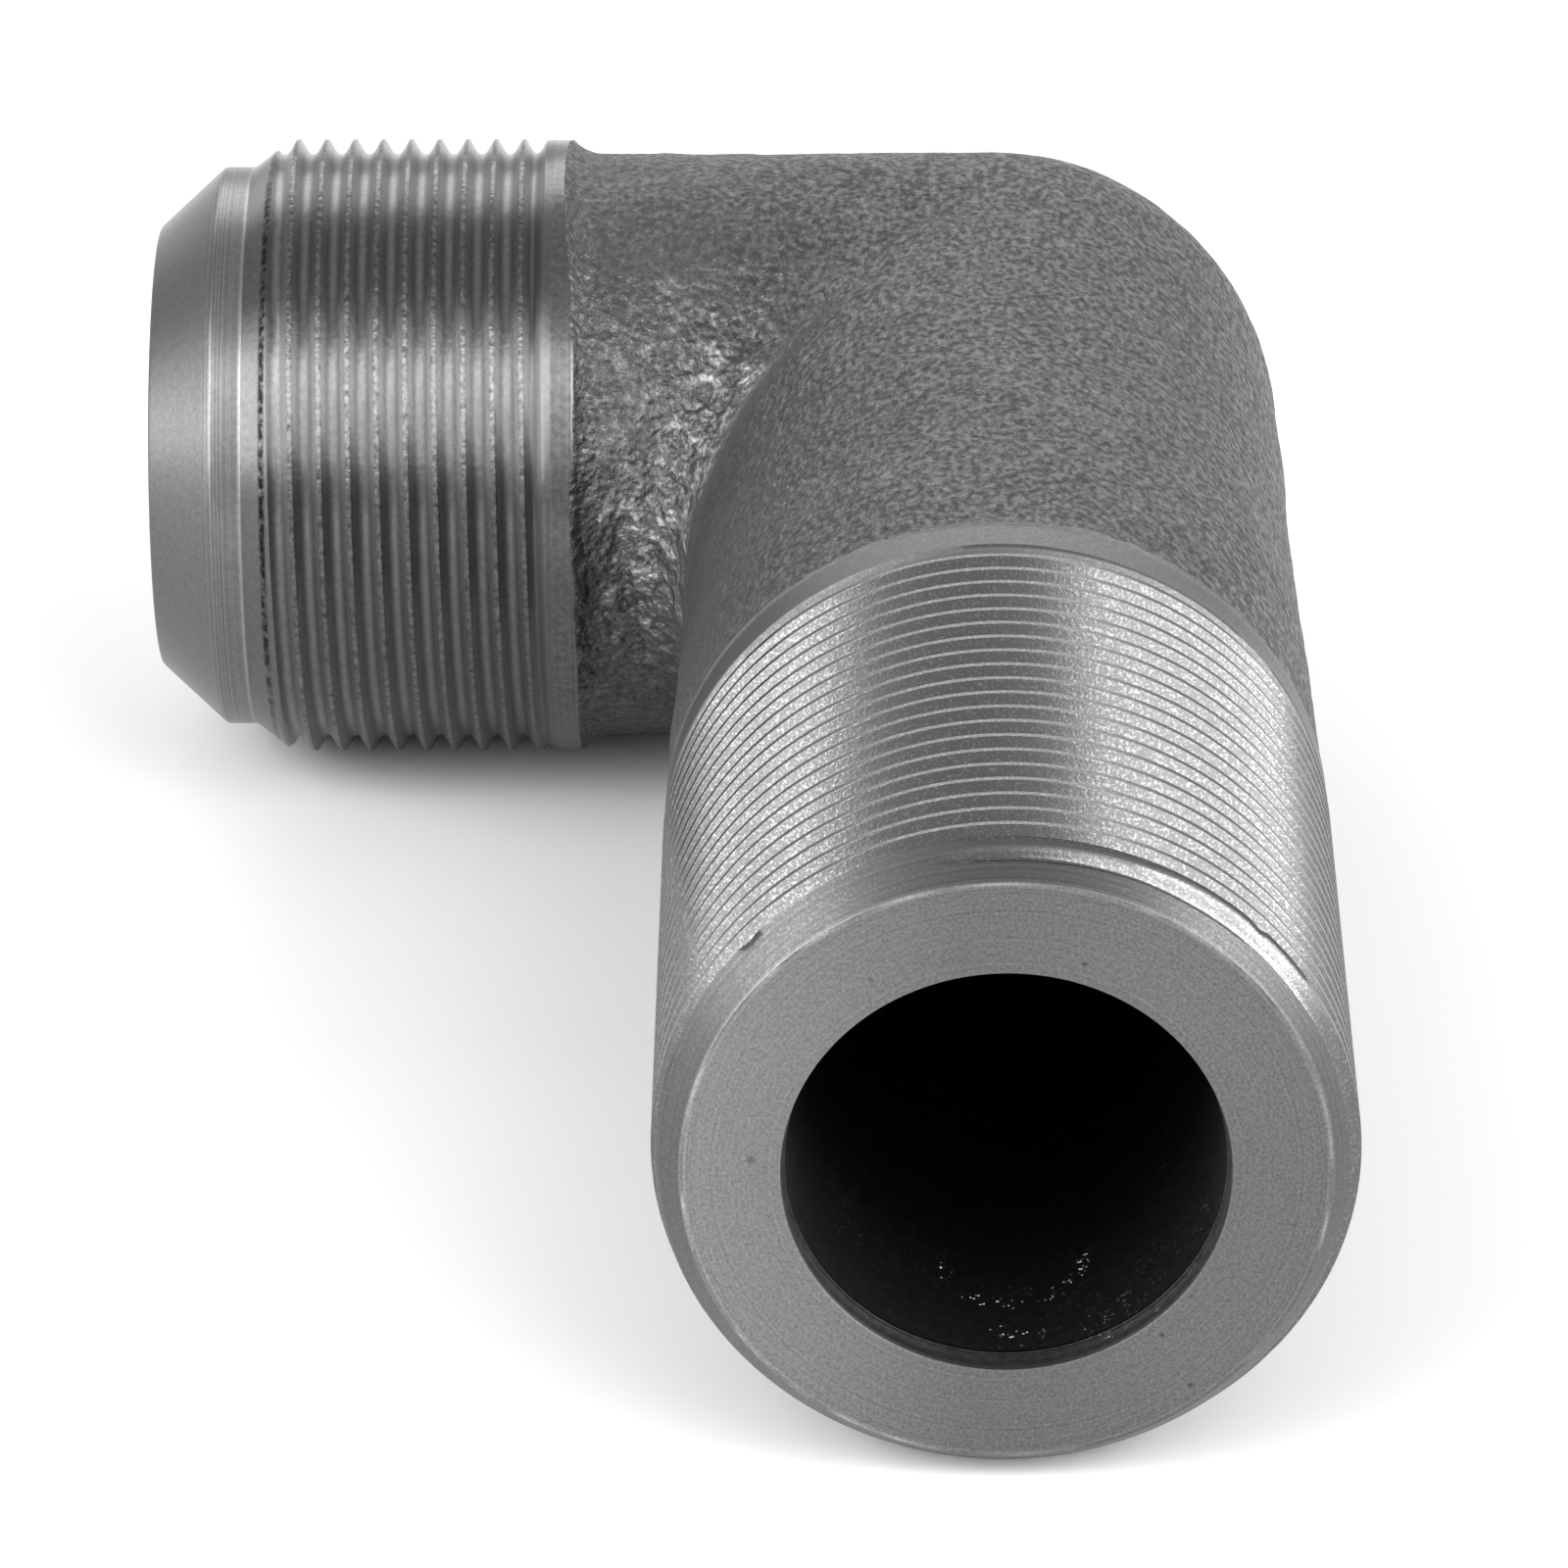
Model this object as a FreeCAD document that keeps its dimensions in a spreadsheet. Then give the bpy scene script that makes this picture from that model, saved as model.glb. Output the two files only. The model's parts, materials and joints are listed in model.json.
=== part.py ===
"""Forged right-angle pipe elbow with two machined male threaded ends.

One steel forging: a short leg that ends in a turned cone nose, a long leg that
ends in a flat face, and two drillings that meet where the legs cross. While it
is modelled, the two leg axes cross at the origin, the short leg runs along -X
and the long leg along -Y. The finished elbow is then moved so that it lies on
its side, with the origin on the floor under the middle of its footprint.

The helical threads are fine work on top of this form: each threaded length is
held here as its plain major diameter, between its lead-in and its collar.
"""
import FreeCAD, Part
import math
import os
from typing import NamedTuple, Optional

import Sketcher

Vector = FreeCAD.Vector

# Driving dimensions in millimetres, and the drill point's angle in degrees.
# The thread is the one diameter: heights, depths and widths are measured radially from it.
DIMENSIONS = {
    # Both ends carry the same straight thread, 1 1/2 inch pipe size at 11 1/2 threads per inch.
    "thread_diameter": 48.0,
    "collar_relief": 0.1,
    # The forging: the short leg is a plain bar, the long leg widens with forging
    # draft from the same size, and the ball at their crossing stands a little proud.
    "neck_shoulder_height": 1.3,
    "long_shoulder_height": 0.15,
    "corner_ball_proud": 0.2,
    "crease_fillet_radius": 5.0,
    # The short leg, from its end face back to the forged neck.
    "short_leg_length": 64.5,
    "nose_face_width": 2.3,
    "nose_cone_length": 5.05,
    "nose_cone_depth": 4.65,
    "nose_edge_break": 0.3,
    "nose_land_length": 2.35,
    "short_lead_in_length": 2.8,
    "short_lead_in_depth": 2.15,
    "short_thread_length": 20.3,
    "short_collar_length": 1.8,
    "neck_fillet_length": 2.3,
    # The long leg, from its end face back to the forging.
    "long_leg_length": 118.5,
    "long_lead_in_length": 2.6,
    "long_lead_in_depth": 2.0,
    "long_thread_length": 46.1,
    "long_collar_length": 4.0,
    "long_shoulder_length": 0.2,
    # The drillings, each run a little past the crossing of the axes.
    "bore_overrun": 5.0,
    "drill_point_angle": 118.0,
    "mouth_step_height": 0.3,
    "mouth_depth": 1.8,
}

THREAD_RADIUS = "dims.thread_diameter / 2"
NECK_RADIUS = f"{THREAD_RADIUS} - dims.collar_relief - dims.neck_shoulder_height"
LONG_ROOT_RADIUS = f"{THREAD_RADIUS} - dims.collar_relief - dims.long_shoulder_height"
BORE_RADIUS = (f"{THREAD_RADIUS} - dims.short_lead_in_depth - dims.nose_cone_depth"
               " - dims.nose_face_width")

# How far a cutting tool stands out of the metal, so that no two faces coincide.
CUT_ALLOWANCE = 1.0

# Turns that lay a +X profile or a +Z primitive along the short leg or the long leg.
TURN_X_TO_SHORT = FreeCAD.Rotation(Vector(0, 0, 1), 180)
TURN_X_TO_LONG = FreeCAD.Rotation(Vector(0, 0, 1), -90)
TURN_Z_TO_SHORT = FreeCAD.Rotation(Vector(0, 1, 0), -90)
TURN_Z_TO_LONG = FreeCAD.Rotation(Vector(1, 0, 0), 90)


class Step(NamedTuple):
    """One step of a turned end: a run along the axis with a rise or a fall in radius."""

    run: Optional[str] = None
    rise: Optional[str] = None
    fall: Optional[str] = None
    fillet: bool = False


# Both ends as a turner reads them, from the forging out to the end face.
SHORT_THREADED_LENGTH = [
    Step(run="neck_fillet_length", rise="neck_shoulder_height", fillet=True),
    Step(run="short_collar_length"),
    Step(rise="collar_relief"),
    Step(run="short_thread_length"),
]
NOSE = [
    Step(run="short_lead_in_length", fall="short_lead_in_depth"),
    Step(run="nose_land_length"),
    Step(run="nose_cone_length", fall="nose_cone_depth"),
]
STRAIGHT_END = [
    Step(run="long_shoulder_length", rise="long_shoulder_height"),
    Step(run="long_collar_length"),
    Step(rise="collar_relief"),
    Step(run="long_thread_length"),
    Step(run="long_lead_in_length", fall="long_lead_in_depth"),
]

doc = FreeCAD.newDocument("threaded_elbow")


def make_sheet():
    """Put each driving dimension in its own row, with its name as the alias."""
    sheet = doc.addObject("Spreadsheet::Sheet", "dims")
    for row, (alias, value) in enumerate(DIMENSIONS.items(), start=1):
        sheet.set(f"A{row}", alias)
        sheet.set(f"B{row}", str(value))
        sheet.setAlias(f"B{row}", alias)
    doc.recompute()


def size(alias):
    """The value of one driving dimension, or nothing where a step has none."""
    return doc.dims.get(alias) if alias else 0.0


def bound(kind, label, expressions, turn=None):
    """Add a primitive whose properties are bound to expressions over the sheet."""
    solid = doc.addObject(kind, label)
    if turn:
        solid.Placement = FreeCAD.Placement(Vector(), turn)
    for prop, expression in expressions.items():
        solid.setExpression(prop, expression)
    return solid


def fused(label, shapes):
    """Join objects into one, without the seams between faces that continue each other."""
    joined = doc.addObject("Part::MultiFuse", label)
    joined.Shapes = shapes
    joined.Refine = True
    doc.recompute()
    return joined


def eased(kind, label, base, edge_numbers, size_alias):
    """Fillet or chamfer the numbered edges of a base object, as its kind says."""
    if not edge_numbers:
        raise RuntimeError(f"{label}: its edge was not found")
    result = doc.addObject(kind, label)
    result.Base = base
    result.Edges = [(number, size(size_alias), size(size_alias)) for number in edge_numbers]
    return result


def half_section(leg_length, steps):
    """The corners of a turned end's half section, and the number of its first thread corner."""
    x = size(leg_length) - sum(size(step.run) for step in steps)
    heights = [0.0]
    for step in steps:
        heights.append(heights[-1] + size(step.rise) - size(step.fall))
    crest = heights.index(max(heights))
    root_radius = size("thread_diameter") / 2 - heights[crest]

    corners = [Vector(x, 0, 0), Vector(x, root_radius, 0)]
    for step, height in zip(steps, heights[1:]):
        x += size(step.run)
        corners.append(Vector(x, root_radius + height, 0))
    corners.append(Vector(x, 0, 0))
    return corners, crest + 1


def fillet_arc(start, end):
    """The arc from start up to end whose centre stands straight above start."""
    run, rise = end.x - start.x, end.y - start.y
    radius = (run * run + rise * rise) / (2 * rise)
    centre = Vector(start.x, start.y + radius, 0)
    end_angle = math.atan2(end.y - centre.y, end.x - centre.x)
    return Part.ArcOfCircle(Part.Circle(centre, Vector(0, 0, 1), radius), -math.pi / 2, end_angle)


def turned_end(label, leg_length, steps, turn):
    """Revolve one machined end about its leg's axis.

    The half section is drawn from the forging out to the end face, which is
    `leg_length` from the crossing of the axes. Each edge carries its own step's
    dimensions, and the thread's radius sets the whole section off the axis.
    """
    body = doc.addObject("PartDesign::Body", label)
    sketch = body.newObject("Sketcher::SketchObject", label + "_section")
    xy_plane = next(f for f in body.Origin.OriginFeatures if f.Role == "XY_Plane")
    sketch.AttachmentSupport = [(xy_plane, "")]
    sketch.MapMode = "FlatFace"

    corners, crest = half_section(leg_length, steps)
    count = len(corners)
    for i, start in enumerate(corners):
        end = corners[(i + 1) % count]
        is_fillet = 1 <= i <= len(steps) and steps[i - 1].fillet
        edge = fillet_arc(start, end) if is_fillet else Part.LineSegment(start, end)
        sketch.addGeometry(edge, False)
    for i in range(count):
        sketch.addConstraint(Sketcher.Constraint("Coincident", i, 2, (i + 1) % count, 1))

    def dimension(kind, value, expression, *ends):
        number = sketch.addConstraint(Sketcher.Constraint(kind, *ends, value))
        sketch.setExpression(f"Constraints[{number}]", expression)

    root, tip = 0, count - 1
    sketch.addConstraint(Sketcher.Constraint("Vertical", root))
    sketch.addConstraint(Sketcher.Constraint("Vertical", tip - 1))
    sketch.addConstraint(Sketcher.Constraint("PointOnObject", root, 1, -1))
    sketch.addConstraint(Sketcher.Constraint("PointOnObject", tip, 1, -1))
    dimension("DistanceX", size(leg_length), f"dims.{leg_length}", -1, 1, tip, 1)
    dimension("DistanceY", corners[crest].y, THREAD_RADIUS, -1, 1, crest, 1)
    for i, step in enumerate(steps, start=1):
        if step.run:
            dimension("DistanceX", size(step.run), f"dims.{step.run}", i, 1, i + 1, 1)
        else:
            sketch.addConstraint(Sketcher.Constraint("Vertical", i))
        if step.rise:
            dimension("DistanceY", size(step.rise), f"dims.{step.rise}", i, 1, i + 1, 1)
        elif step.fall:
            dimension("DistanceY", size(step.fall), f"dims.{step.fall}", i + 1, 1, i, 1)
        else:
            sketch.addConstraint(Sketcher.Constraint("Horizontal", i))
        if step.fillet:
            # Its centre is straight above its start, so it leaves the leg tangent.
            sketch.addConstraint(Sketcher.Constraint("Vertical", i, 3, i, 1))

    revolution = body.newObject("PartDesign::Revolution", label + "_turning")
    revolution.Profile = sketch
    revolution.ReferenceAxis = (sketch, ["H_Axis"])
    body.Placement = FreeCAD.Placement(Vector(), turn)
    doc.recompute()
    return body


def crease_edges(shape):
    """Numbers of the edges where one leg meets the other, on the inside of the turn."""
    found = []
    for number, edge in enumerate(shape.Edges, start=1):
        surfaces = [face.Surface for face in shape.ancestorsOfType(edge, Part.Face)]
        axes = [s.Axis for s in surfaces if isinstance(s, (Part.Cylinder, Part.Cone))]
        if len(axes) == 2 and axes[0].cross(axes[1]).Length > 0.5:
            found.append(number)
    return found


def nose_edges(shape):
    """Number of the edge where the nose's cone meets its end face."""
    circles = {number: edge.Curve for number, edge in enumerate(shape.Edges, start=1)
               if not edge.Degenerated and isinstance(edge.Curve, Part.Circle)}
    return [number for number, circle in circles.items()
            if math.isclose(circle.Center.x, -size("short_leg_length"))]


def length_before(steps, leg_length):
    """Expression for a leg's length from the crossing to where these end steps begin."""
    return f"dims.{leg_length}" + "".join(f" - dims.{step.run}" for step in steps if step.run)


def make_forging():
    """Two legs and the ball at their crossing, with the inner crease filleted.

    The short leg is drawn as the bar that its thread is cut on, up to the nose,
    so that the crease's fillet has all of it to end on.
    """
    short_leg = bound("Part::Cylinder", "short_leg", {
        "Radius": NECK_RADIUS,
        "Height": length_before(NOSE, "short_leg_length"),
    }, TURN_Z_TO_SHORT)
    long_leg = bound("Part::Cone", "long_leg", {
        "Radius1": NECK_RADIUS,
        "Radius2": LONG_ROOT_RADIUS,
        "Height": length_before(STRAIGHT_END, "long_leg_length"),
    }, TURN_Z_TO_LONG)
    ball = bound("Part::Sphere", "corner_ball", {
        "Radius": f"{NECK_RADIUS} + dims.corner_ball_proud",
    })
    blank = fused("forging_blank", [short_leg, long_leg, ball])
    return eased("Part::Fillet", "forging", blank, crease_edges(blank.Shape),
                 "crease_fillet_radius")


def make_drillings():
    """One drilling down each leg, with its drill point past the crossing, and the mouth's boring."""
    point_length = f"({BORE_RADIUS}) / tan(dims.drill_point_angle / 2 * 1 deg)"
    tools = []
    for leg, axis, turn in (("short", "x", TURN_Z_TO_SHORT), ("long", "y", TURN_Z_TO_LONG)):
        tools.append(bound("Part::Cylinder", f"{leg}_drilling", {
            "Radius": BORE_RADIUS,
            "Height": f"dims.bore_overrun + dims.{leg}_leg_length + {CUT_ALLOWANCE}",
            f"Placement.Base.{axis}": "dims.bore_overrun",
        }, turn))
        tools.append(bound("Part::Cone", f"{leg}_drill_point", {
            "Radius1": "0",
            "Radius2": BORE_RADIUS,
            "Height": point_length,
            f"Placement.Base.{axis}": f"dims.bore_overrun + {point_length}",
        }, turn))
    tools.append(bound("Part::Cylinder", "mouth_boring", {
        "Radius": f"{BORE_RADIUS} + dims.mouth_step_height",
        "Height": f"dims.mouth_depth + {CUT_ALLOWANCE}",
        "Placement.Base.y": "dims.mouth_depth - dims.long_leg_length",
    }, TURN_Z_TO_LONG))
    return fused("drillings", tools)


def check(objects):
    """Stop if any object of the document failed or has no valid shape."""
    for obj in objects:
        if {"Invalid", "Error"} & set(obj.State):
            raise RuntimeError(f"{obj.Name}: {obj.State}")
        if obj.isDerivedFrom("Part::Feature") and (obj.Shape.isNull() or not obj.Shape.isValid()):
            raise RuntimeError(f"{obj.Name} has no valid shape")


make_sheet()
forging = make_forging()
nose_turning = turned_end("nose_end", "short_leg_length", SHORT_THREADED_LENGTH + NOSE,
                          TURN_X_TO_SHORT)
nose_end = eased("Part::Chamfer", "deburred_nose_end", nose_turning,
                 nose_edges(nose_turning.Shape), "nose_edge_break")
straight_end = turned_end("straight_end", "long_leg_length", STRAIGHT_END, TURN_X_TO_LONG)

# The elbow lies on its two threads, with its footprint's middle at the origin.
elbow = bound("Part::Cut", "elbow_body", {
    "Placement.Base.x": f"(dims.short_leg_length - {THREAD_RADIUS}) / 2",
    "Placement.Base.y": f"(dims.long_leg_length - {THREAD_RADIUS}) / 2",
    "Placement.Base.z": THREAD_RADIUS,
})
elbow.Base = fused("outside", [forging, nose_end, straight_end])
elbow.Tool = make_drillings()
doc.recompute()
check(doc.Objects)

os.makedirs("parts", exist_ok=True)
elbow.Shape.exportStep("parts/elbow_body.step")
box = elbow.Shape.optimalBoundingBox()
print(f"elbow_body: {elbow.Shape.Volume / 1000:.2f} cm3, {len(elbow.Shape.Faces)} faces,"
      f" box {box.XMin:.2f}..{box.XMax:.2f}, {box.YMin:.2f}..{box.YMax:.2f},"
      f" {box.ZMin:.2f}..{box.ZMax:.2f} mm")
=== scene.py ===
"""Forged right-angle steel pipe elbow with a male thread on each leg, in a plain studio.

The elbow is drawn as three closed meshes that meet where the turned ends begin: the forged
body, the long threaded end and the short threaded end with its cone nose. Every one is
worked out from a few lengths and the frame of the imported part.
"""
import itertools
import json
import math

import bpy
import numpy as np
from bpy.props import FloatProperty, FloatVectorProperty, PointerProperty
from mathutils import Matrix, Vector


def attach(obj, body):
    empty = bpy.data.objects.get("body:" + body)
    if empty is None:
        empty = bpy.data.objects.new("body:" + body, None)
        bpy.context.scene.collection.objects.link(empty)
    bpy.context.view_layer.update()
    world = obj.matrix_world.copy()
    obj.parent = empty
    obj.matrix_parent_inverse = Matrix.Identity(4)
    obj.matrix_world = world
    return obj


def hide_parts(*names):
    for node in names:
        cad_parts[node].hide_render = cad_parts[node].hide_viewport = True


bl_info = {
    "name": "Threaded pipe elbow",
    "version": (1, 0, 0),
    "blender": (4, 5, 0),
    "location": "3D View > Sidebar > Elbow",
    "description": "Builds a forged pipe elbow with two turned threaded ends and its studio",
    "category": "Add Mesh",
}

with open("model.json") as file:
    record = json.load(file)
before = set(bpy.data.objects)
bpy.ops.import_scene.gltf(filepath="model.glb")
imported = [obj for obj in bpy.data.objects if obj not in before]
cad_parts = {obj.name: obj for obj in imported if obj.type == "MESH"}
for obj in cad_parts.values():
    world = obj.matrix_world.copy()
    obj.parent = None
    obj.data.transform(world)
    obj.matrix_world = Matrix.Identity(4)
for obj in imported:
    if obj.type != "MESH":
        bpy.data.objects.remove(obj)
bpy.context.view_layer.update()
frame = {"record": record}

MM = 0.001
NODE = "elbow_body"

# The axes cross at CROSSING; the long leg runs along -Y from it and the short leg along -X.
MOUNTS = {mount["name"]: mount for mount in frame["record"]["mounts"]}
LONG_AXIS_AT = MOUNTS["long_thread"]["pos_m"]
SHORT_AXIS_AT = MOUNTS["short_thread"]["pos_m"]
CROSSING = np.array([LONG_AXIS_AT[0], SHORT_AXIS_AT[1], LONG_AXIS_AT[2]])
LONG_LENGTH = CROSSING[1] - MOUNTS["long_end_face"]["pos_m"][1]
SHORT_LENGTH = CROSSING[0] - MOUNTS["nose_end_face"]["pos_m"][0]
THREAD_RADIUS = MOUNTS["long_thread"]["dims"]["r_mm"] * MM
BORE_RADIUS = MOUNTS["long_bore"]["dims"]["r_mm"] * MM
MOUTH_RADIUS = MOUNTS["long_mouth"]["dims"]["r_mm"] * MM
MOUTH_DEPTH = MOUNTS["long_mouth"]["dims"]["length_mm"] * MM

# Distances along a leg are measured from the crossing. At each seam the turned end takes over
# from the forged body, and CREST_AT is one of the thread's crests at the top of the leg.
LONG_SEAM = 66.6 * MM
LONG_COLLAR_RADIUS = 23.91 * MM
LONG_RUN_OUT = 69.0 * MM
LONG_THREAD_START = 69.8 * MM
LONG_CREST_AT = 113.64 * MM
LONG_CHAMFER_START = 115.65 * MM
LONG_FACE_RADIUS = 22.0 * MM
SHORT_SEAM = 33.4 * MM
SHORT_COLLAR_RADIUS = 23.93 * MM
SHORT_RUN_OUT = 33.1 * MM
SHORT_THREAD_START = 34.2 * MM
SHORT_CREST_AT = 53.6 * MM
LEAD_IN_START = 54.3 * MM
RAGGED_AT = 55.45 * MM
LAND_START = 57.1 * MM
LAND_RADIUS = 21.85 * MM
CONE_START = 59.45 * MM
NOSE_RADIUS = 17.2 * MM

# Each flank leans this far from square to the axis, and the root is rounded over this share
# of the depth. Past the last crest, counted from CREST_AT, the groove comes in between two
# angles of its turn; where nothing is cut the thread's form stands clear of the metal.
FLANK_ANGLE = math.radians(30)
ROOT_ROUNDING = 0.35
LAST_CREST = 2
LAST_GROOVE_FADES = (math.radians(325), math.radians(358))
RUN_OUT_LIFT = 0.3 * MM
UNCUT_MARGIN = 0.01 * MM
EDGE_RUN = 0.08 * MM
EDGE_ROUNDING = 0.05 * MM

# The forging's skin before anything is turned on it. The long leg widens with its draft from
# NECK_RADIUS round the turn to DRAFT_RADIUS, and ends in a lip beside its collar.
NECK_RADIUS = 22.72 * MM
LONG_NECK_RADIUS = 23.05 * MM
DRAFT_RADIUS = 23.75 * MM
DRAFT_END = 62 * MM
LIP_START = 65 * MM
LIP_SLOPE = 0.25
FAN_PIVOT = 29.0 * MM
FAN_ROWS = 150
FINE_ROWS_START = 64 * MM
OUTER_ARC = 0.985
CREASE_RADIUS = 5.6 * MM
BORE_CORNER_RADIUS = 0.4 * MM
SHOULDER_START = 29.8 * MM
SHOULDER_SHIFT = 0.75 * MM
SHOULDER_RADIUS = 3.3 * MM
SHOULDER_ARC = 0.9
SHOULDER_SLOPE = 1.5
# The smooth crease lies this far in front of the legs' diagonal.
CREASE_OFFSET = 5.2 * MM
CREASE_WIDTH = 2.4 * MM
# The coarsest scale lies beside the crease, between these two points from the crossing.
PITTED_FROM = (-19 * MM, -17.4 * MM, 14.6 * MM)
PITTED_TO = (-28.5 * MM, -22 * MM, -6 * MM)
PITTED_REACH = 7.5 * MM
PIT_HEIGHT = 0.15 * MM
SCALE_SIZE = 1.6 * MM
WAVE_HEIGHT = 0.11 * MM
WAVE_SIZE = 9 * MM

# Knocks on the long end's edge and thread: distance, degrees round the axis, width and depth.
LONG_NICKS = (
    (115.5 * MM, 44.6, 0.40 * MM, 0.25 * MM),
    (115.6 * MM, -46.4, 0.45 * MM, 0.35 * MM),
    (110.2 * MM, 31.0, 0.30 * MM, 0.25 * MM),
    (97.5 * MM, 12.0, 0.30 * MM, 0.2 * MM),
    (104.1 * MM, 158.0, 0.45 * MM, 0.4 * MM),
    (88.6 * MM, -112.0, 0.40 * MM, 0.3 * MM),
    (114.4 * MM, 131.0, 0.50 * MM, 0.4 * MM),
)

# Where chips gather in the bore: centre from the crossing, radius in plan and width.
CHIP_RINGS = (
    ((0.6 * MM, -105.2 * MM, 0), 4.9 * MM, 0.9 * MM),
    ((0.8 * MM, -114.2 * MM, 0), 0.0, 2.6 * MM),
)

# The forging's flakes are a little longer along the long leg.
FLAKE_STRETCH = (1, 0.65, 1)
# Where finishes change, and where light and shade are painted, between two distances: along
# a leg, but out from the axis for the face's marks, and along X from it for the face's
# painted light, which makes the face lighter towards -X. The bore is painted darker with
# depth between its two distances, as painted shade.
CALM_SCALE = (12 * MM, 24 * MM)
CONE_RINGS_AT = 58.9 * MM
CONE_RINGS_REACH = 2.2 * MM
FACE_MARKS = (19.5 * MM, 21.5 * MM)
FACE_PAINTED_LIGHT = (-21 * MM, -3 * MM)
BORE_PAINTED_SHADE = (70 * MM, 105 * MM)
CHIPS_GATHER = (103 * MM, 106 * MM)

# Columns round a leg, steps in a rounded corner, how near two points are one, and how far two
# faces lean from each other before the edge between them is crisp.
COLUMNS = 256
ARC_STEPS = 4
WELD = 0.0001 * MM
SHARP_ANGLE = math.radians(48)


class ElbowSizes(bpy.types.PropertyGroup):
    """Sizes of the elbow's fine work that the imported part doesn't hold."""

    thread_pitch: FloatProperty(
        name="Thread Pitch", description="Distance from one crest to the next",
        default=25.4 / 11.5 * MM, unit="LENGTH", precision=5)
    thread_depth: FloatProperty(
        name="Thread Depth", description="Height from the root to the crest",
        default=1.17 * MM, unit="LENGTH", precision=5)
    long_crest_width: FloatProperty(
        name="Long Crest Width", description="Width of the flat crest on the long leg",
        default=0.46 * MM, unit="LENGTH", precision=5)
    short_crest_width: FloatProperty(
        name="Short Crest Width", description="Width of the flat crest on the short leg",
        default=0.3 * MM, unit="LENGTH", precision=5)
    scale_height: FloatProperty(
        name="Scale Height", description="How far the forging's scale and blast marks stand out",
        default=0.045 * MM, unit="LENGTH", precision=5)


class ElbowFinish(bpy.types.PropertyGroup):
    """Colours of the elbow's finishes."""

    forging: FloatVectorProperty(
        name="Forging", description="Shot-blasted forged skin",
        subtype="COLOR", size=4, min=0, max=1, default=(0.085, 0.085, 0.085, 1))
    turned: FloatVectorProperty(
        name="Turned", description="Turned threads and collars",
        subtype="COLOR", size=4, min=0, max=1, default=(0.13, 0.13, 0.13, 1))
    face: FloatVectorProperty(
        name="Face", description="Faced end",
        subtype="COLOR", size=4, min=0, max=1, default=(0.13, 0.13, 0.13, 1))
    cone: FloatVectorProperty(
        name="Cone", description="Cone nose and its land",
        subtype="COLOR", size=4, min=0, max=1, default=(0.129, 0.129, 0.129, 1))
    bore: FloatVectorProperty(
        name="Bore", description="Drilled inside, with its film of oil",
        subtype="COLOR", size=4, min=0, max=1, default=(0.10, 0.10, 0.10, 1))
    floor: FloatVectorProperty(
        name="Floor", description="Studio floor",
        subtype="COLOR", size=4, min=0, max=1, default=(0.62, 0.62, 0.62, 1))


# Shapes


def smooth_step(low, high, value):
    """0 below low and 1 above high, with the cubic t^2 (3 - 2t) between them."""
    t = np.clip((value - low) / (high - low), 0, 1)
    return t * t * (3 - 2 * t)


def smooth_min(a, b, width):
    """The lower of two heights, rounded over a width: b + (a - b) h - width h (1 - h)."""
    h = np.clip(0.5 + 0.5 * (b - a) / width, 0, 1)
    return b + (a - b) * h - width * h * (1 - h)


def lattice_noise(points, cell, seed):
    """Smooth noise from -1 to 1: random values on a cubic lattice, blended by a quintic curve."""
    count = 64
    table = np.random.default_rng(seed).uniform(-1, 1, (count, count, count))
    scaled = points / cell
    base = np.floor(scaled).astype(int)
    t = scaled - base
    t = t * t * t * (t * (t * 6 - 15) + 10)
    total = np.zeros(points.shape[:-1])
    for corner in itertools.product((0, 1), repeat=3):
        weight = np.prod(np.where(corner, t, 1 - t), axis=-1)
        i, j, k = np.moveaxis((base + corner) % count, -1, 0)
        total += weight * table[i, j, k]
    return total


def layered_noise(points, cell, seed, layers):
    """Lattice noise summed over layers, each of half the cell and half the height of the last."""
    return sum(lattice_noise(points, cell / 2**n, seed + n) / 2**n for n in range(layers))


def on_leg(leg, distance, radius, angle):
    """Points at a distance along a leg, and a radius and angle about its axis.

    The angle starts at the top and turns towards +X on the long leg and towards -Y on
    the short leg: (r sin a, -s, r cos a) and (-s, -r sin a, r cos a).
    """
    distance, radius, angle = np.broadcast_arrays(distance, radius, angle)
    side, up = radius * np.sin(angle), radius * np.cos(angle)
    parts = (side, -distance, up) if leg == "long" else (-distance, -side, up)
    return np.stack(parts, axis=-1) + CROSSING


def column_angles():
    """One turn of column angles, with both ends."""
    return np.linspace(0, 2 * math.pi, COLUMNS + 1)


def turned_profile(leg, profile):
    """A profile of (distance, radius) rows carried round a leg's axis."""
    rows = np.array(profile)
    return on_leg(leg, rows[:, :1], rows[:, 1:], column_angles()[None, :])


def spaced(start, end, step):
    """Rows start + (end - start) n / count, about a step apart and without the end itself."""
    start, end = np.array(start), np.array(end)
    count = max(1, round(float(np.linalg.norm(end - start)) / step))
    return [tuple(start + (end - start) * n / count) for n in range(count)]


def rounded_path(corners, step):
    """Rows along a path of (distance, radius, rounding) corners, each rounded by a parabola.

    It is (1 - t)^2 entry + 2t (1 - t) corner + t^2 leave, whose ends lie on the two sides,
    rounding / tan(half the corner's angle) from the corner.
    """
    path = []
    last = np.array(corners[0][:2])
    for before, corner, after in zip(corners, corners[1:], corners[2:]):
        point = np.array(corner[:2])
        to_before = np.array(before[:2]) - point
        to_after = np.array(after[:2]) - point
        to_before /= np.linalg.norm(to_before)
        to_after /= np.linalg.norm(to_after)
        half_angle = math.acos(np.clip(to_before @ to_after, -1, 1)) / 2
        run = corner[2] / math.tan(half_angle)
        entry, leave = point + to_before * run, point + to_after * run
        path += spaced(last, entry, step)
        for t in np.linspace(0, 1, ARC_STEPS + 1)[:-1]:
            path.append(tuple((1 - t)**2 * entry + 2 * t * (1 - t) * point + t**2 * leave))
        last = leave
    end = np.array(corners[-1][:2])
    return path + spaced(last, end, step) + [tuple(end)]


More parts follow.
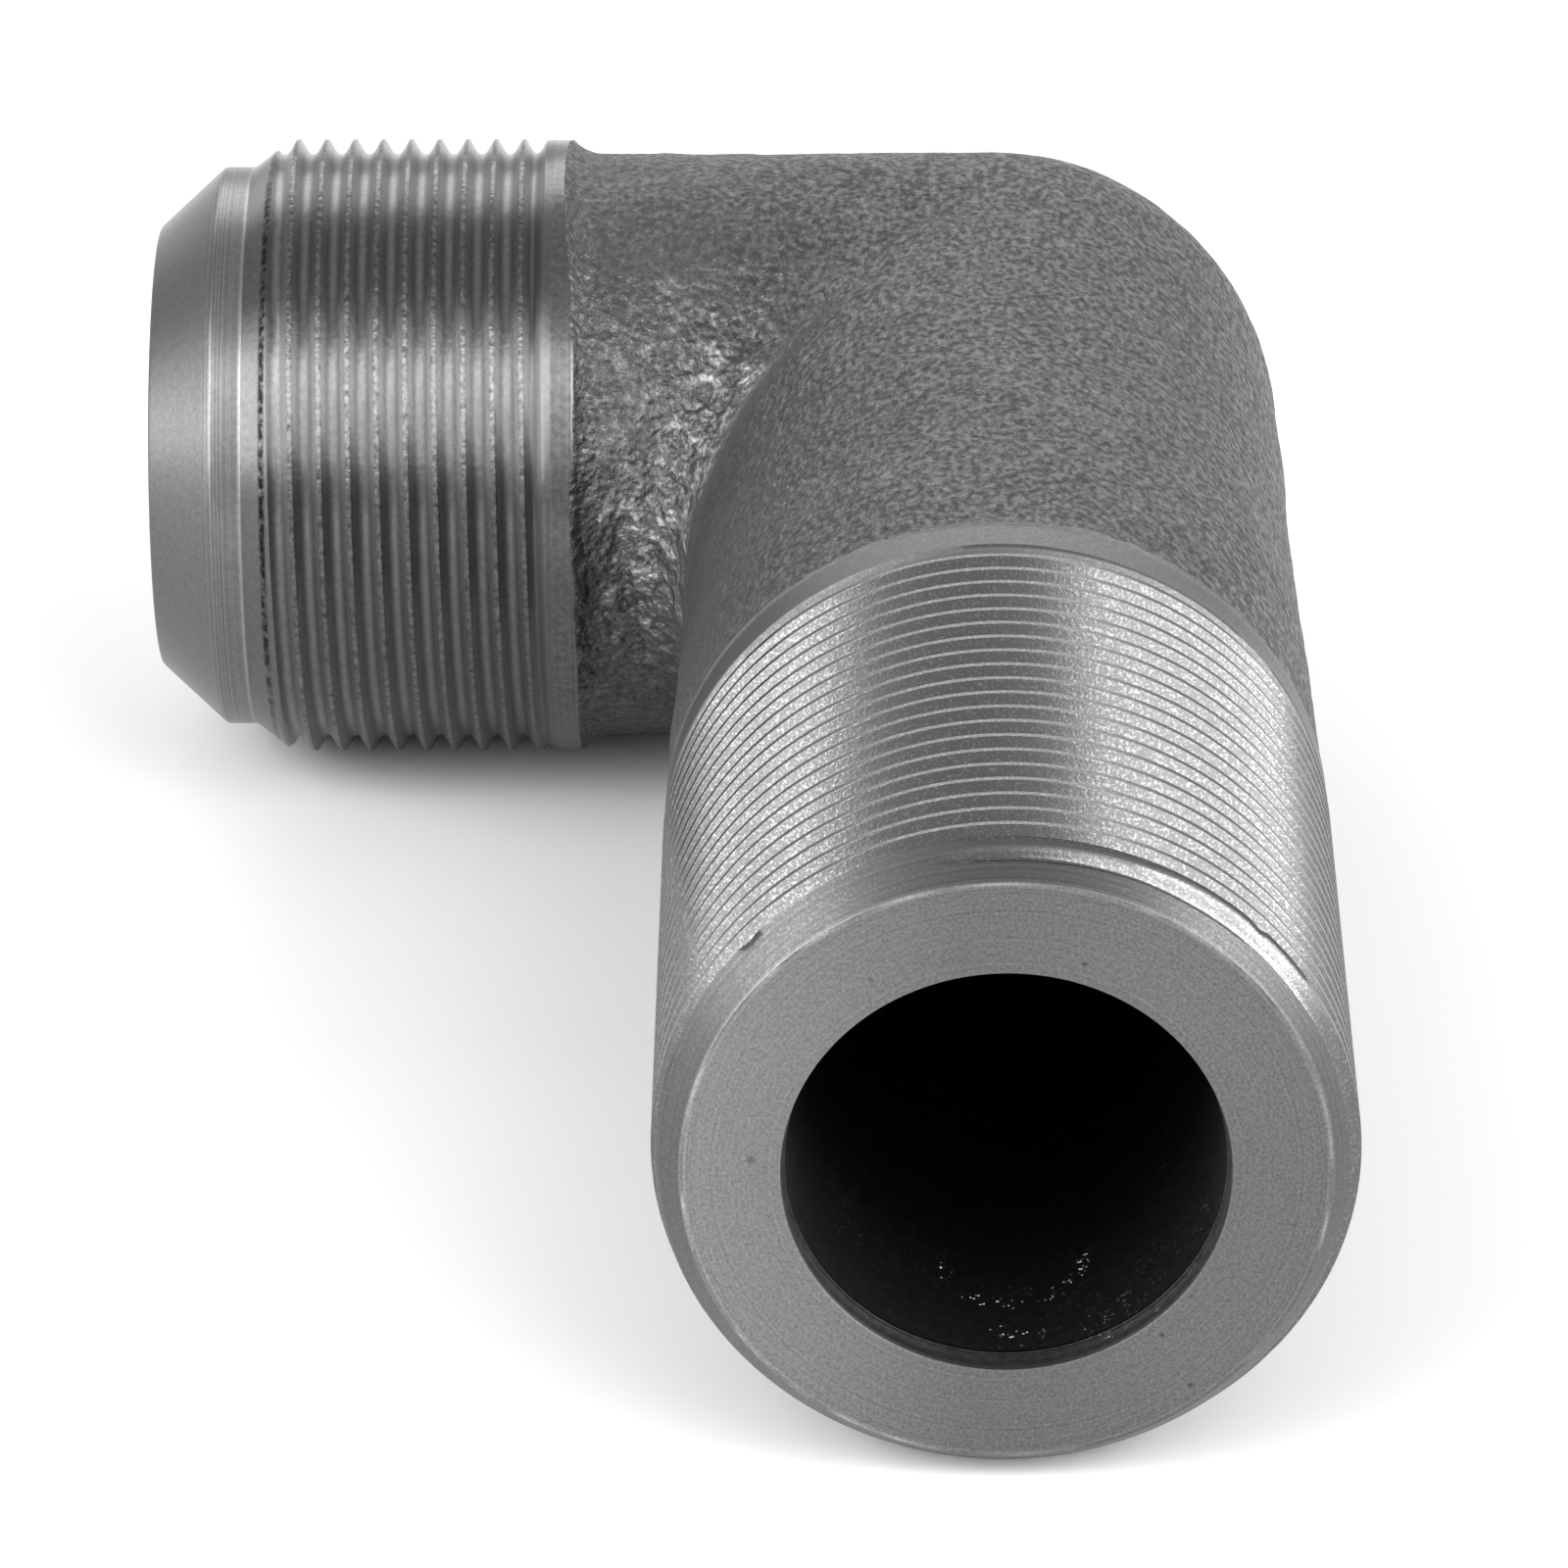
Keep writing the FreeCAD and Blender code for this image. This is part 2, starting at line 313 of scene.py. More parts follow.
def thread_height(phase, crest_width, sizes):
    """How far the thread lies below its crest, at a phase of 0 on a crest and 0.5 in a root.

    The flanks stand at 60 degrees to each other between a narrow flat crest and a round root:
    (distance from the crest's middle - half its width) / tan 30, held between 0 and the depth.
    """
    from_crest = np.abs((phase + 0.5) % 1 - 0.5) * sizes.thread_pitch
    flank = (from_crest - crest_width / 2) / math.tan(FLANK_ANGLE)
    rounding = ROOT_ROUNDING * sizes.thread_depth
    return np.maximum(smooth_min(flank, sizes.thread_depth, rounding), 0)


def row_phases(crest_width, sizes):
    """Phases of the rows in one pitch, on the crest's corners and close round the root."""
    corner = crest_width / 2 / sizes.thread_pitch
    half = [corner, 0.19, 0.3, 0.34, 0.38, 0.42, 0.46]
    return np.array(half + [1 - phase for phase in reversed(half)])


def threaded_rows(leg, start, end, blank, crest_at, run_out, crest_width, sizes):
    """A cylinder with a helical thread, on a grid that follows the helix.

    A row of one phase lies at crest + pitch (phase - angle / turn), held between start and
    end, so that a row which leaves one column enters the first one a pitch further on. The
    radius is the lower of the turned blank and the thread form. The thread runs out of the
    metal over the pitch that starts at run_out, and its groove past the last crest comes in
    only over the end of that turn. The marks are the groove's depth from 0 to 1, and where
    the blank was left uncut.
    """
    pitch = sizes.thread_pitch
    angle = column_angles()[None, :]
    first, last = (start - crest_at) / pitch, (end - crest_at) / pitch
    crests = np.arange(math.floor(first), math.ceil(last) + 1)
    row = (crests[:, None] + row_phases(crest_width, sizes)).reshape(-1, 1)
    distance = np.clip(crest_at + pitch * (row - angle / (2 * math.pi)), start, end)
    phase = (distance - crest_at) / pitch + angle / (2 * math.pi)
    engaged = smooth_step(run_out, run_out + pitch, distance)
    coming_in = smooth_step(*LAST_GROOVE_FADES, angle)
    engaged = engaged * np.where(phase > LAST_CREST, coming_in, 1)
    form = THREAD_RADIUS - thread_height(phase, crest_width, sizes) * engaged
    form = form + (1 - engaged) * RUN_OUT_LIFT
    radius = np.minimum(blank(distance, angle), form)
    depth = np.clip((THREAD_RADIUS - radius) / sizes.thread_depth, 0, 1)
    uncut = (form - radius > UNCUT_MARGIN).astype(float)
    return on_leg(leg, distance, radius, angle), {"groove": depth, "uncut": uncut}


def build_mesh(name, patches):
    """One closed mesh from grids of points.

    Each patch is (points, material number, turned inside out, marks), where the material
    number may be a number for each quad, and the marks are named values for each point
    that the finishes read. Points in the same place become one; a quad that loses a corner
    is a triangle, and one that loses two is dropped.
    """
    names = sorted({name for patch in patches for name in patch[3]})
    corners, faces, slots, marks = [], [], [], []
    count = 0
    for points, slot, inside_out, marked in patches:
        rows, columns = points.shape[:2]
        index = np.arange(rows * columns).reshape(rows, columns) + count
        quad = [index[:-1, :-1], index[1:, :-1], index[1:, 1:], index[:-1, 1:]]
        if inside_out:
            quad.reverse()
        faces.append(np.stack(quad, axis=-1).reshape(-1, 4))
        slots.append(np.broadcast_to(slot, (rows - 1, columns - 1)).reshape(-1))
        corners.append(points.reshape(-1, 3))
        values = [np.broadcast_to(marked.get(n, 0.0), (rows, columns)) for n in names]
        marks.append(np.reshape(values, (len(names), rows * columns)))
        count += rows * columns
    corners, faces, slots = np.concatenate(corners), np.concatenate(faces), np.concatenate(slots)
    marks = np.concatenate(marks, axis=1)

    keys = np.round(corners / WELD).astype(np.int64)
    _, first, welded = np.unique(keys, axis=0, return_index=True, return_inverse=True)
    faces = welded.reshape(-1)[faces]
    lost = faces == np.roll(faces, -1, axis=1)
    whole = (lost.sum(1) == 0) & (faces[:, 0] != faces[:, 2]) & (faces[:, 1] != faces[:, 3])
    split = lost.sum(1) == 1
    triangles = faces[split][~lost[split]].reshape(-1, 3)

    mesh = bpy.data.meshes.new(name)
    mesh.from_pydata(corners[first], [], faces[whole].tolist() + triangles.tolist())
    mesh.polygons.foreach_set("material_index", np.concatenate([slots[whole], slots[split]]))
    mesh.polygons.foreach_set("use_smooth", np.ones(len(mesh.polygons), bool))
    for mark, values in zip(names, marks):
        attribute = mesh.attributes.new(mark, "FLOAT", "POINT")
        attribute.data.foreach_set("value", values[first].astype(np.float32))
    mesh.update()
    mesh.set_sharp_from_angle(angle=SHARP_ANGLE)
    piece = bpy.data.objects.new(name, mesh)
    bpy.context.collection.objects.link(piece)
    return piece


def finish_piece(piece, materials):
    """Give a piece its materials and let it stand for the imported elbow."""
    for material in materials:
        piece.data.materials.append(material)
    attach(piece, "root")
    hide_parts(NODE)


# The forged body


def forged_corner(around, section, radius, inside_radius):
    """Points of a pipe that turns a square corner, by the direction from a pivot inside the turn.

    Each level slice is an L whose sides lie m = R cos(section) from the axes. Its corner is
    an arc: OUTER_ARC times m on the outside of the turn, and inside_radius times the root of
    the cosine on the inside. The direction from the pivot meets either a side or the arc.
    """
    m = radius * np.cos(section)
    arc = np.where(m > 0, OUTER_ARC * m, inside_radius * np.sqrt(np.abs(np.cos(section))))
    from_side = np.minimum(around, math.pi / 2 - around)
    on_side = np.tan(from_side) <= 1 - arc / (m + FAN_PIVOT)
    side_reach = (m + FAN_PIVOT) / np.cos(from_side)
    middle = (m - arc + FAN_PIVOT) * math.sqrt(2)
    off_middle = around - math.pi / 4
    arc_reach = middle * np.cos(off_middle)
    arc_reach = arc_reach + np.sqrt(np.maximum(arc**2 - (middle * np.sin(off_middle))**2, 0))
    reach = np.where(on_side, side_reach, arc_reach)
    x = reach * np.sin(around) - FAN_PIVOT
    y = reach * np.cos(around) - FAN_PIVOT
    z = np.broadcast_to(radius * np.sin(section), x.shape)
    return np.stack([x, y, z], axis=-1) + CROSSING


def outward(points):
    """Unit normals of a grid whose last column repeats its first: along cross across."""
    along = np.gradient(points, axis=0)
    ring = points[:, :-1]
    across = np.roll(ring, -1, axis=1) - np.roll(ring, 1, axis=1)
    across = np.concatenate([across, across[:, :1]], axis=1)
    normal = np.cross(along, across)
    return normal / np.maximum(np.linalg.norm(normal, axis=-1, keepdims=True), 1e-12)


def short_shoulder(angle):
    """Where the short leg's forged shoulder starts: nearer to the turn low on the front.

    The start less a shift that comes in from 5 to 50 degrees and goes from 200 to 250.
    """
    front = smooth_step(math.radians(5), math.radians(50), angle)
    front = front * (1 - smooth_step(math.radians(200), math.radians(250), angle))
    return SHOULDER_START - SHOULDER_SHIFT * front


def shoulder_rise(past):
    """Height of the shoulder past its start: an arc that leaves the leg tangent, then a slope.

    The arc is R - root(R^2 - run^2), up to a run of SHOULDER_ARC times R.
    """
    arc_run = SHOULDER_ARC * SHOULDER_RADIUS
    on_arc = np.clip(past, 0, arc_run)
    rise = SHOULDER_RADIUS - np.sqrt(SHOULDER_RADIUS**2 - on_arc**2)
    return rise + SHOULDER_SLOPE * np.clip(past - arc_run, 0, None)


def forged_skin(sizes):
    """The forging's outside, with the turned collars that both ends are cut back to.

    Rows run along the short leg, round the turn in a fan about the pivot and down the long
    leg. The skin is moved along its normals by three heights of noise: waves, scale that is
    weaker in the crease, and pits beside it. Where it still stands above a collar's radius it
    is turned down to it.
    """
    angle = column_angles()[None, :]
    section = angle + math.pi / 2

    short = np.array(spaced((SHORT_SEAM, 0), (FAN_PIVOT, 0), 0.22 * MM))[:, :1]
    radius = NECK_RADIUS + shoulder_rise(short - short_shoulder(angle % (2 * math.pi)))
    near = on_leg("short", short, radius, angle)

    fan = np.linspace(0, math.pi / 2, FAN_ROWS)[:, None]
    swell = NECK_RADIUS + (LONG_NECK_RADIUS - NECK_RADIUS) * smooth_step(0, math.pi / 2, fan)
    corner = forged_corner(fan, section, swell, CREASE_RADIUS)

    long = np.array(spaced((FAN_PIVOT, 0), (FINE_ROWS_START, 0), 0.5 * MM)
                    + spaced((FINE_ROWS_START, 0), (LONG_SEAM, 0), 0.2 * MM)
                    + [(LONG_SEAM, 0)])[1:, :1]
    draft = (DRAFT_RADIUS - LONG_NECK_RADIUS) * smooth_step(FAN_PIVOT, DRAFT_END, long)
    lip = LIP_SLOPE * np.clip(long - LIP_START, 0, None)
    far = on_leg("long", long, LONG_NECK_RADIUS + draft + lip, -angle)

    points = np.concatenate([near, corner, far])
    from_axis = points - CROSSING
    x, y, z = np.moveaxis(from_axis, -1, 0)
    crease = np.exp(-((x - y - CREASE_OFFSET) / CREASE_WIDTH)**2)
    crease = crease * smooth_step(-2 * MM, -8 * MM, x) * smooth_step(22 * MM, 17 * MM, z)
    pitted = near_line(from_axis, PITTED_FROM, PITTED_TO, PITTED_REACH) * (1 - crease)
    bumps = WAVE_HEIGHT * layered_noise(points, WAVE_SIZE, 11, 2)
    bumps += sizes.scale_height * layered_noise(points, SCALE_SIZE, 21, 3) * (1 - 0.7 * crease)
    bumps += PIT_HEIGHT * pitted * layered_noise(points, SCALE_SIZE, 31, 2)
    points = points - outward(points) * bumps[..., None]
    points, turned = turn_down(points, near.shape[0], far.shape[0])
    return points, turned, {"crease": crease, "pitted": pitted}


def near_line(points, start, end, reach):
    """1 on the line between two points, falling off as a bell curve: exp(-(gap / reach)^2)."""
    start, line = np.array(start), np.array(end) - np.array(start)
    along = np.clip((points - start) @ line / (line @ line), 0, 1)
    gap = np.linalg.norm(points - start - along[..., None] * line, axis=-1)
    return np.exp(-(gap / reach)**2)


def turn_down(points, short_rows, long_rows):
    """Cut the skin's ends back to the collars, whose radius is the lower of the two.

    The second result is 1 on the short collar, 2 on the long one and 0 on the forging.
    """
    from_axis = points - CROSSING
    turned = np.zeros(points.shape[:2], int)
    for rows, along, radius, mark in ((slice(0, short_rows), 0, SHORT_COLLAR_RADIUS, 1),
                                      (slice(-long_rows, None), 1, LONG_COLLAR_RADIUS, 2)):
        part = from_axis[rows]
        across = part.copy()
        across[..., along] = 0
        reach = np.linalg.norm(across, axis=-1, keepdims=True)
        part += across * (np.minimum(radius / reach, 1) - 1)
        turned[rows] = np.where(reach[..., 0] >= radius, mark, 0)
    cut = from_axis + CROSSING
    cut[0] = on_leg("short", SHORT_SEAM, SHORT_COLLAR_RADIUS, column_angles())
    cut[-1] = on_leg("long", LONG_SEAM, LONG_COLLAR_RADIUS, -column_angles())
    return cut, turned


def drilled_corner():
    """The forging's inside: one passage with a sharp inner corner and a rounded outer one.

    Its radius is the drillings'. Their points past the crossing, which the photograph doesn't
    show, are left out.
    """
    angle = column_angles()[None, :]
    section = angle + math.pi / 2
    short = np.linspace(SHORT_SEAM, FAN_PIVOT, 4)[:-1, None]
    near = on_leg("short", short, BORE_RADIUS, angle)
    fan = np.linspace(0, math.pi / 2, 61)[:, None]
    corner = forged_corner(fan, section, BORE_RADIUS, BORE_CORNER_RADIUS)
    long = np.linspace(FAN_PIVOT, LONG_SEAM, 16)[1:, None]
    far = on_leg("long", long, BORE_RADIUS, -angle)
    return np.concatenate([near, corner, far])


def ring_wall(leg, distance, inner, outer, turn):
    """A flat ring across a leg, from an inner to an outer radius, turning by 1 or -1."""
    radius = np.array([inner, outer])[:, None]
    return on_leg(leg, distance, radius, turn * column_angles()[None, :])


class ELBOW_OT_forged_body(bpy.types.Operator):
    """Build the forged body between the two turned ends"""

    bl_idname = "elbow.forged_body"
    bl_label = "Forged Body"

    def execute(self, context):
        sizes, finish = context.scene.elbow_sizes, context.scene.elbow_finish
        skin, turned, marks = forged_skin(sizes)
        # A quad belongs to a collar only where all four of its corners were turned.
        whole = np.minimum(np.minimum(turned[:-1, :-1], turned[1:, :-1]),
                           np.minimum(turned[:-1, 1:], turned[1:, 1:]))
        piece = build_mesh("forged_body", [
            (skin, whole, True, marks),
            (drilled_corner(), 3, False, {}),
            (ring_wall("short", SHORT_SEAM, BORE_RADIUS, SHORT_COLLAR_RADIUS, 1), 3, True, {}),
            (ring_wall("long", LONG_SEAM, BORE_RADIUS, LONG_COLLAR_RADIUS, -1), 3, False, {}),
        ])
        finish_piece(piece, [forged_steel(finish), turned_steel("short", finish),
                             turned_steel("long", finish), drilled_steel(finish)])
        return {"FINISHED"}


# The turned ends


def nicked(radius, distance, angle, nicks):
    """A turned radius with small hollows knocked in it.

    Each is depth exp(-(gap / width)^2), with its gap along the axis and round it.
    """
    for at, degrees, width, depth in nicks:
        around = (angle - math.radians(degrees) + math.pi) % (2 * math.pi) - math.pi
        away = ((distance - at) / width)**2 + (around * THREAD_RADIUS / width)**2
        radius = radius - depth * np.exp(-away)
    return radius


def long_blank(distance, angle):
    """Radius of the long end before its thread is cut: collar, thread length and chamfer.

    The thread's radius less the chamfer's slope past its start, and less the collar's relief.
    """
    slope = (THREAD_RADIUS - LONG_FACE_RADIUS) / (LONG_LENGTH - LONG_CHAMFER_START)
    radius = THREAD_RADIUS - slope * np.clip(distance - LONG_CHAMFER_START, 0, None)
    past_collar = smooth_step(LONG_THREAD_START - 2 * MM, LONG_THREAD_START + 1 * MM, distance)
    radius -= (THREAD_RADIUS - LONG_COLLAR_RADIUS) * (1 - past_collar)
    return nicked(radius, distance, angle, LONG_NICKS)


def nose_blank(distance, angle):
    """Radius of the short end before its thread is cut: collar, thread length and lead-in.

    The thread's radius less the lead-in's slope past its start, and less the collar's relief.
    """
    slope = (THREAD_RADIUS - LAND_RADIUS) / (LAND_START - LEAD_IN_START)
    radius = THREAD_RADIUS - slope * np.clip(distance - LEAD_IN_START, 0, None)
    past_collar = smooth_step(SHORT_THREAD_START, SHORT_THREAD_START + 0.9 * MM, distance)
    return radius - (THREAD_RADIUS - SHORT_COLLAR_RADIUS) * (1 - past_collar)


class ELBOW_OT_long_threaded_end(bpy.types.Operator):
    """Build the long leg's turned end: thread, chamfer, flat face and mouth"""

    bl_idname = "elbow.long_threaded_end"
    bl_label = "Long Threaded End"

    def execute(self, context):
        sizes, finish = context.scene.elbow_sizes, context.scene.elbow_finish
        grid_end = LONG_LENGTH - EDGE_RUN
        thread, marks = threaded_rows(
            "long", LONG_SEAM, grid_end, long_blank, LONG_CREST_AT, LONG_RUN_OUT,
            sizes.long_crest_width, sizes)
        bore_end = LONG_LENGTH - MOUTH_DEPTH
        face = rounded_path([
            (grid_end, float(long_blank(np.array(grid_end), 0)), 0),
            (LONG_LENGTH, LONG_FACE_RADIUS, EDGE_ROUNDING),
            (LONG_LENGTH, MOUTH_RADIUS, EDGE_ROUNDING),
            (LONG_LENGTH - 0.5 * MM, MOUTH_RADIUS, 0)], 0.5 * MM)
        mouth = rounded_path([
            (LONG_LENGTH - 0.5 * MM, MOUTH_RADIUS, 0),
            (bore_end, MOUTH_RADIUS, EDGE_ROUNDING),
            (bore_end, BORE_RADIUS, EDGE_ROUNDING),
            (bore_end - 0.5 * MM, BORE_RADIUS, 0)], 0.3 * MM)
        bore = spaced((bore_end - 0.5 * MM, BORE_RADIUS), (LONG_SEAM, BORE_RADIUS), 5 * MM)
        bore.append((LONG_SEAM, BORE_RADIUS))
        piece = build_mesh("long_threaded_end", [
            (thread, 0, False, marks),
            (turned_profile("long", face), 1, False, {}),
            (turned_profile("long", mouth), 2, False, {}),
            (turned_profile("long", bore), 2, False, {}),
            (ring_wall("long", LONG_SEAM, BORE_RADIUS, LONG_COLLAR_RADIUS, 1), 2, False, {}),
        ])
        finish_piece(piece, [blasted_thread(finish), faced_steel(finish), drilled_steel(finish)])
        return {"FINISHED"}


class ELBOW_OT_nose_end(bpy.types.Operator):
    """Build the short leg's turned end: thread, land, cone and nose"""

    bl_idname = "elbow.nose_end"
    bl_label = "Nose End"

    def execute(self, context):
        sizes, finish = context.scene.elbow_sizes, context.scene.elbow_finish
        thread, marks = threaded_rows(
            "short", SHORT_SEAM, LAND_START, nose_blank, SHORT_CREST_AT, SHORT_RUN_OUT,
            sizes.short_crest_width, sizes)
        nose = rounded_path([
            (LAND_START, LAND_RADIUS, 0),
            (CONE_START, LAND_RADIUS, 0.6 * MM),
            (SHORT_LENGTH, NOSE_RADIUS, 0.5 * MM),
            (SHORT_LENGTH, BORE_RADIUS, 0.15 * MM),
            (SHORT_LENGTH - 0.6 * MM, BORE_RADIUS, 0)], 0.25 * MM)
        bore = spaced((SHORT_LENGTH - 0.6 * MM, BORE_RADIUS), (SHORT_SEAM, BORE_RADIUS), 2 * MM)
        bore.append((SHORT_SEAM, BORE_RADIUS))
        piece = build_mesh("nose_end", [
            (thread, 0, False, marks),
            (turned_profile("short", nose), 1, False, {}),
            (turned_profile("short", bore), 2, False, {}),
            (ring_wall("short", SHORT_SEAM, BORE_RADIUS, SHORT_COLLAR_RADIUS, 1), 2, False, {}),
        ])
        finish_piece(piece, [cut_thread(finish), turned_cone(finish), drilled_steel(finish)])
        return {"FINISHED"}


# Finishes


class Shader:
    """A new metal material, with short ways to add nodes to it."""

    def __init__(self, name, roughness):
        self.material = bpy.data.materials.new(name)
        self.material.use_nodes = True
        self.tree = self.material.node_tree
        self.surface = self.tree.nodes["Principled BSDF"]
        self.surface.inputs["Metallic"].default_value = 1.0
        self.surface.inputs["Roughness"].default_value = roughness
        self.position = self.node("ShaderNodeTexCoord").outputs["Object"]

    def node(self, kind, inputs=(), **settings):
        """Add a node; inputs maps socket names or numbers to values or to other sockets."""
        made = self.tree.nodes.new(kind)
        for name, value in settings.items():
            setattr(made, name, value)
        for socket, value in dict(inputs).items():
            if isinstance(value, bpy.types.NodeSocket):
                self.tree.links.new(value, made.inputs[socket])
            else:
                made.inputs[socket].default_value = value
        return made

    def set(self, socket, value):
        """Drive one of the surface's own sockets."""
        self.tree.links.new(value, self.surface.inputs[socket])

    def math(self, operation, a, b=0.0, c=0.0):
        """One step on numbers; MULTIPLY_ADD is a times b plus c."""
        return self.node("ShaderNodeMath", {0: a, 1: b, 2: c}, operation=operation).outputs[0]

    def vector(self, operation, a, b):
        """One step on vectors."""
        return self.node("ShaderNodeVectorMath", {0: a, 1: b}, operation=operation).outputs[0]

    def mark(self, name):
        """One of the values that the mesh carries on its points."""
        return self.node("ShaderNodeAttribute", attribute_name=name).outputs["Fac"]

    def place(self, size, stretch=(1, 1, 1), offset=(0, 0, 0)):
        """Object coordinates scaled so that one unit is this size in metres."""
        return self.node("ShaderNodeMapping", {
            "Vector": self.position, "Location": offset,
            "Scale": [s / size for s in stretch]}).outputs[0]

    def noise(self, size, detail, stretch=(1, 1, 1), offset=(0, 0, 0)):
        """Noise whose features are about this size, divided by the stretch on each axis."""
        return self.node("ShaderNodeTexNoise", {
            "Vector": self.place(size, stretch, offset),
            "Scale": 1.0, "Detail": detail, "Roughness": 0.6}).outputs["Fac"]

    def cells(self, size):
        """Distance from the middle of the nearest of many small cells."""
        return self.node("ShaderNodeTexVoronoi", {"Vector": self.place(size), "Scale": 1.0},
                         feature="SMOOTH_F1").outputs["Distance"]

    def ramp(self, value, low, high, to_low=0.0, to_high=1.0):
        """Map a range of a value to another, held at both ends."""
        return self.node("ShaderNodeMapRange", {
            "Value": value, "From Min": low, "From Max": high,
            "To Min": to_low, "To Max": to_high}).outputs[0]

    def tone(self, colour, *factors):
        """A colour times some factors."""
        for factor in factors:
            mixed = self.node("ShaderNodeMix", {0: 1.0, 6: colour, 7: factor},
                              data_type="RGBA", blend_type="MULTIPLY")
            colour = mixed.outputs[2]
        return colour

    def bump(self, height, depth, normal=None):
        """A bump of this depth in metres where the height goes from 0 to 1."""
        inputs = {"Height": height, "Distance": depth, "Strength": 1.0}
        if normal:
            inputs["Normal"] = normal
        return self.node("ShaderNodeBump", inputs).outputs[0]

    def along(self, leg):
        """Distance along a leg from the crossing."""
        parts = self.node("ShaderNodeSeparateXYZ", {0: self.position})
        index = 1 if leg == "long" else 0
        return self.math("SUBTRACT", float(CROSSING[index]), parts.outputs[index])

    def from_axis(self, leg):
        """Distance from a leg's axis."""
        across = (1, 0, 1) if leg == "long" else (0, 1, 1)
        offset = self.vector("SUBTRACT", self.position, list(CROSSING))
        flat = self.vector("MULTIPLY", offset, across)
        return self.node("ShaderNodeVectorMath", {0: flat}, operation="LENGTH").outputs["Value"]

    def rings(self, place, size):
        """Noise that changes only with a distance, so that it runs in rings round the axis."""
        scaled = self.math("DIVIDE", place, size)
        return self.node("ShaderNodeTexNoise", {"W": scaled, "Scale": 1.0, "Detail": 2.0},
                         noise_dimensions="1D").outputs["Fac"]

    def line(self, place, at, half_width, inside):
        """A factor that is 1 away from a distance and another value on it."""
        gap = self.math("ABSOLUTE", self.math("SUBTRACT", place, at))
        return self.ramp(gap, 0.4 * half_width, half_width, inside, 1.0)

    def turned(self, leg, anisotropy):
        """Stretch the gloss across the marks that a lathe leaves round a leg's axis.

        The tangent runs round the axis: the axis crossed with the offset from the crossing.
        """
        axis = (0, 1, 0) if leg == "long" else (1, 0, 0)
        offset = self.vector("SUBTRACT", self.position, list(CROSSING))
        self.set("Tangent", self.vector("CROSS_PRODUCT", axis, offset))
        self.surface.inputs["Anisotropic"].default_value = anisotropy
        self.surface.inputs["Anisotropic Rotation"].default_value = 0.25


def forged_steel(finish):
    """Shot-blasted forging: fine flaky scale, coarser beside the crease and smoother in it.

    The crease and pitted marks come from the mesh; the scale is calmer towards the short end.
    The crease is also painted lighter, as painted light against its shade.
    """
    s = Shader("forged_steel", 0.5)
    crease, pitted = s.mark("crease"), s.mark("pitted")
    even = s.ramp(crease, 0, 1, 1.0, 0.4)
    calm = s.ramp(s.along("short"), *CALM_SCALE, 1.0, 0.55)
    grain = s.noise(0.8 * MM, 3.0, FLAKE_STRETCH)
    flakes = s.noise(0.5 * MM, 2.0, FLAKE_STRETCH, (3, 3, 3))
    sheets = s.noise(1.3 * MM, 2.0, FLAKE_STRETCH, (7, 7, 7))
    scale = s.cells(0.6 * MM)
    coarse = s.noise(2.1 * MM, 2.0, offset=(5, 5, 5))
    mottle = s.noise(9 * MM, 2.0, offset=(9, 9, 9))

    height = s.math("MULTIPLY_ADD", grain, 1.4, s.math("MULTIPLY", scale, 0.5))
    relief = s.math("MULTIPLY", even, s.math("MULTIPLY_ADD", calm, 0.6, 0.4))
    pits = s.math("MULTIPLY", s.math("MULTIPLY", coarse, pitted), 3.2)
    height = s.math("ADD", s.math("MULTIPLY", height, relief), pits)
    fleck = s.math("SUBTRACT", s.ramp(flakes, 0.38, 0.68), 0.42)
    contrast = s.math("MULTIPLY", calm, s.math("MULTIPLY", even, 1.05))
    shade = s.math("MULTIPLY_ADD", fleck, contrast, 1.0)
    glint = s.math("MULTIPLY", s.ramp(coarse, 0.54, 0.68), pitted)
    # Painted light: the crease is painted up to 1.3 times lighter against its shade.
    s.set("Base Color", s.tone(
        finish.forging, shade, s.ramp(sheets, 0.6, 0.7, 1.0, 1.22),
        s.ramp(mottle, 0.3, 0.7, 0.9, 1.1), s.math("MULTIPLY_ADD", glint, 1.6, 1.0),
        s.ramp(crease, 0, 1, 1.0, 1.3)))
    s.set("Roughness", s.ramp(flakes, 0.4, 0.64, 0.6, 0.44))
    s.set("Normal", s.bump(height, 0.38 * MM))
    return s.material


def turned_steel(leg, finish):
    """The smooth collars that the lathe leaves on the forging."""
    s = Shader("turned_" + leg, 0.42 if leg == "long" else 0.32)
    s.turned(leg, 0.8)
    rings = s.rings(s.along(leg), 0.2 * MM)
    grain = s.noise(0.5 * MM, 3.0)
    s.set("Base Color", s.tone(
        finish.turned, s.ramp(rings, 0.3, 0.7, 0.85, 1.05), s.ramp(grain, 0.35, 0.65, 0.8, 1.2)))
    s.set("Normal", s.bump(rings, 0.003 * MM, s.bump(grain, 0.02 * MM)))
    return s.material


